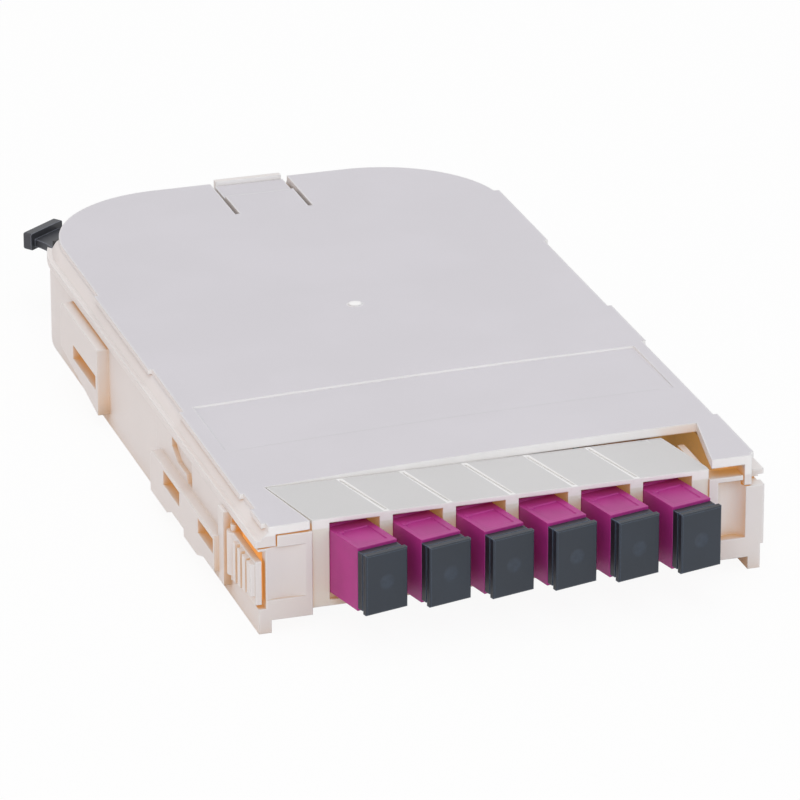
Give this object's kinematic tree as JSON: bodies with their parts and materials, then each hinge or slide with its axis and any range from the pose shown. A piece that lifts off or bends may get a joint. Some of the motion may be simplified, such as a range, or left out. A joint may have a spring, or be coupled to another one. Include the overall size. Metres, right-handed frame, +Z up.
{
  "type": "fibre cassette",
  "caption": "Flat moulded cassette with a snap cover that joins one multi-fibre coupler at the rear to a row of turned duplex couplers with dust caps at the front.",
  "frame": {"origin": "centre of the tray's flat underside", "axes": "+Z up through the cover, -Y out of the front couplers, +X to the right seen from the front"},
  "size_m": [0.1098, 0.2064, 0.0238],
  "materials": {
    "housing_shell": "fine satin, warm white",
    "cover_shell": "fine satin, cool white",
    "frame_shell": "fine satin, white",
    "coupler_body": "satin, deep pink",
    "cap_body": "satin, dark slate",
    "plug_body": "satin, pink",
    "multi_body": "satin, black",
    "fan_out_body": "satin, black",
    "sleeve_ceramic": "polished white",
    "fibre_jacket": "smooth aqua",
    "bundle_jacket": "smooth aqua"
  },
  "bodies": {
    "housing": {"tray": "housing_shell", "coupler_frame": "frame_shell", "coupler_1": "coupler_body", "coupler_2": "coupler_body", "coupler_3": "coupler_body", "coupler_4": "coupler_body", "coupler_5": "coupler_body", "coupler_6": "coupler_body", "sleeves_1": "sleeve_ceramic", "sleeves_2": "sleeve_ceramic", "sleeves_3": "sleeve_ceramic", "sleeves_4": "sleeve_ceramic", "sleeves_5": "sleeve_ceramic", "sleeves_6": "sleeve_ceramic", "plug_1a": "plug_body", "plug_1b": "plug_body", "plug_2a": "plug_body", "plug_2b": "plug_body", "plug_3a": "plug_body", "plug_3b": "plug_body", "plug_4a": "plug_body", "plug_4b": "plug_body", "plug_5a": "plug_body", "plug_5b": "plug_body", "plug_6a": "plug_body", "plug_6b": "plug_body", "fibre_1a": "fibre_jacket", "fibre_1b": "fibre_jacket", "fibre_2a": "fibre_jacket", "fibre_2b": "fibre_jacket", "fibre_3a": "fibre_jacket", "fibre_3b": "fibre_jacket", "fibre_4a": "fibre_jacket", "fibre_4b": "fibre_jacket", "fibre_5a": "fibre_jacket", "fibre_5b": "fibre_jacket", "fibre_6a": "fibre_jacket", "fibre_6b": "fibre_jacket", "fan_out_block": "fan_out_body", "fibre_bundle": "bundle_jacket", "multi_coupler": "multi_body", "multi_plug": "plug_body"},
    "lid": {"cover": "cover_shell"},
    "lever_left": {"release_lever_left": "housing_shell"},
    "lever_right": {"release_lever_right": "housing_shell"},
    "multi_cap": {"multi_cap": "cap_body"},
    "cap_1": {"dust_cap_1": "cap_body"},
    "cap_2": {"dust_cap_2": "cap_body"},
    "cap_3": {"dust_cap_3": "cap_body"},
    "cap_4": {"dust_cap_4": "cap_body"},
    "cap_5": {"dust_cap_5": "cap_body"},
    "cap_6": {"dust_cap_6": "cap_body"}
  },
  "joints": [
    {"name": "cover_lift", "type": "slide", "parent": "housing", "child": "lid", "axis": [0, 0, 1], "range_m": [0, 0.03]},
    {"name": "lever_left_press", "type": "hinge", "parent": "housing", "child": "lever_left", "pos_m": [-0.05225, -0.0758, 0.0108], "axis": [0, 0, 1], "range_deg": [0, 2.4], "stiffness_Nm_per_rad": 0.4},
    {"name": "lever_right_press", "type": "hinge", "parent": "housing", "child": "lever_right", "pos_m": [0.05225, -0.0758, 0.0108], "axis": [0, 0, -1], "range_deg": [0, 2.4], "stiffness_Nm_per_rad": 0.4},
    {"name": "dust_cap_1_pull", "type": "slide", "parent": "housing", "child": "cap_1", "axis": [0.2334, -0.9724, 0], "range_m": [0, 0.016]},
    {"name": "dust_cap_2_pull", "type": "slide", "parent": "housing", "child": "cap_2", "axis": [0.2334, -0.9724, 0], "range_m": [0, 0.016]},
    {"name": "dust_cap_3_pull", "type": "slide", "parent": "housing", "child": "cap_3", "axis": [0.2334, -0.9724, 0], "range_m": [0, 0.016]},
    {"name": "dust_cap_4_pull", "type": "slide", "parent": "housing", "child": "cap_4", "axis": [0.2334, -0.9724, 0], "range_m": [0, 0.016]},
    {"name": "dust_cap_5_pull", "type": "slide", "parent": "housing", "child": "cap_5", "axis": [0.2334, -0.9724, 0], "range_m": [0, 0.016]},
    {"name": "dust_cap_6_pull", "type": "slide", "parent": "housing", "child": "cap_6", "axis": [0.2334, -0.9724, 0], "range_m": [0, 0.016]},
    {"name": "multi_cap_pull", "type": "slide", "parent": "housing", "child": "multi_cap", "axis": [-0.606, 0.7955, 0], "range_m": [0, 0.014]}
  ]
}
